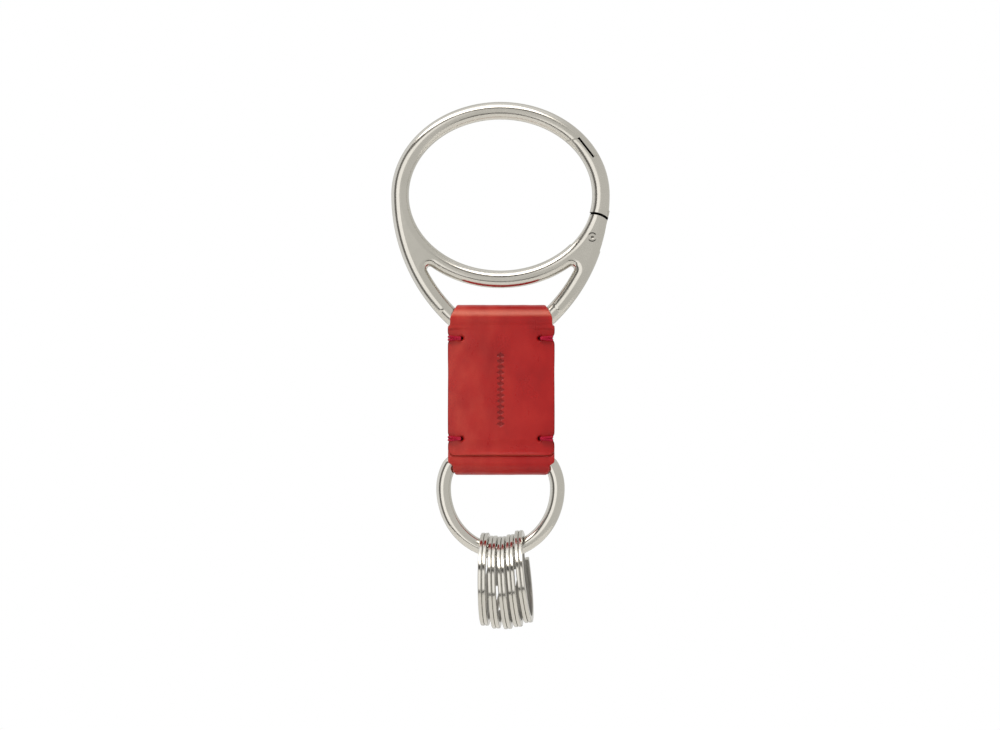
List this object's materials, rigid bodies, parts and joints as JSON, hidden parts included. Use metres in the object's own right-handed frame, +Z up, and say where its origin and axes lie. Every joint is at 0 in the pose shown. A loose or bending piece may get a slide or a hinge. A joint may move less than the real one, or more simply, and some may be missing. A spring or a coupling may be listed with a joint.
{
  "type": "key ring with spring-gate carabiner",
  "caption": "Oval spring-gate carabiner ring with a short folded leather strap, a D ring and small split rings for keys.",
  "frame": {"origin": "the hanging point: the inner top of the carabiner's oval opening, in its middle plane", "axes": "+Z up as it hangs, +X to its right with the gate on the +X side, -Y its front"},
  "size_m": [0.0522, 0.0223, 0.126],
  "materials": {
    "satin_nickel": "satin nickel plate over cast zinc alloy",
    "polished_nickel": "polished nickel plate on steel wire",
    "bright_nickel": "bright nickel plate on spring steel",
    "pin_steel": "peened steel",
    "spring_steel": "spring steel wire",
    "red_leather": "smooth aniline leather, red",
    "crimson_thread": "waxed thread, crimson"
  },
  "bodies": {
    "carabiner": {"carabiner_frame": "satin_nickel", "gate_pin": "pin_steel", "gate_spring": "spring_steel"},
    "gate": {"gate": "satin_nickel"},
    "strap": {"leather_strap": "red_leather", "tack_upper_left": "crimson_thread", "tack_upper_right": "crimson_thread", "tack_lower_left": "crimson_thread", "tack_lower_right": "crimson_thread"},
    "d_ring": {"d_ring": "polished_nickel"},
    "split_ring_1": {"split_ring_1": "bright_nickel"},
    "split_ring_2": {"split_ring_2": "bright_nickel"},
    "split_ring_3": {"split_ring_3": "bright_nickel"},
    "split_ring_4": {"split_ring_4": "bright_nickel"},
    "split_ring_5": {"split_ring_5": "bright_nickel"}
  },
  "joints": [
    {"name": "gate_hinge", "type": "hinge", "parent": "carabiner", "child": "gate", "pos_m": [0.02188, 0, -0.02815], "axis": [0, -1, 0], "range_deg": [0, 30], "stiffness_Nm_per_rad": 0.04, "springref_deg": -34.38, "deforming": ["gate_spring"]},
    {"name": "strap_swing", "type": "hinge", "parent": "carabiner", "child": "strap", "pos_m": [0, 0, -0.04795], "axis": [1, 0, 0], "range_deg": [-110, 110]},
    {"name": "d_ring_swing", "type": "hinge", "parent": "strap", "child": "d_ring", "pos_m": [0, 0, -0.0816], "axis": [1, 0, 0], "range_deg": [-90, 90]},
    {"name": "split_ring_1_swing", "type": "hinge", "parent": "d_ring", "child": "split_ring_1", "pos_m": [-0.00364, 0, -0.10255], "axis": [0.9968, -0.0802, 0], "range_deg": [-110, 110]},
    {"name": "split_ring_2_swing", "type": "hinge", "parent": "d_ring", "child": "split_ring_2", "pos_m": [-0.00152, 0, -0.10301], "axis": [0.9968, -0.0802, 0], "range_deg": [-110, 110]},
    {"name": "split_ring_3_swing", "type": "hinge", "parent": "d_ring", "child": "split_ring_3", "pos_m": [0.0006, 0, -0.10308], "axis": [0.9968, -0.0802, 0], "range_deg": [-110, 110]},
    {"name": "split_ring_4_swing", "type": "hinge", "parent": "d_ring", "child": "split_ring_4", "pos_m": [0.00272, 0, -0.1028], "axis": [0.9968, -0.0802, 0], "range_deg": [-110, 110]},
    {"name": "split_ring_5_swing", "type": "hinge", "parent": "d_ring", "child": "split_ring_5", "pos_m": [0.00484, 0, -0.10212], "axis": [0.9968, -0.0802, 0], "range_deg": [-110, 110]}
  ]
}
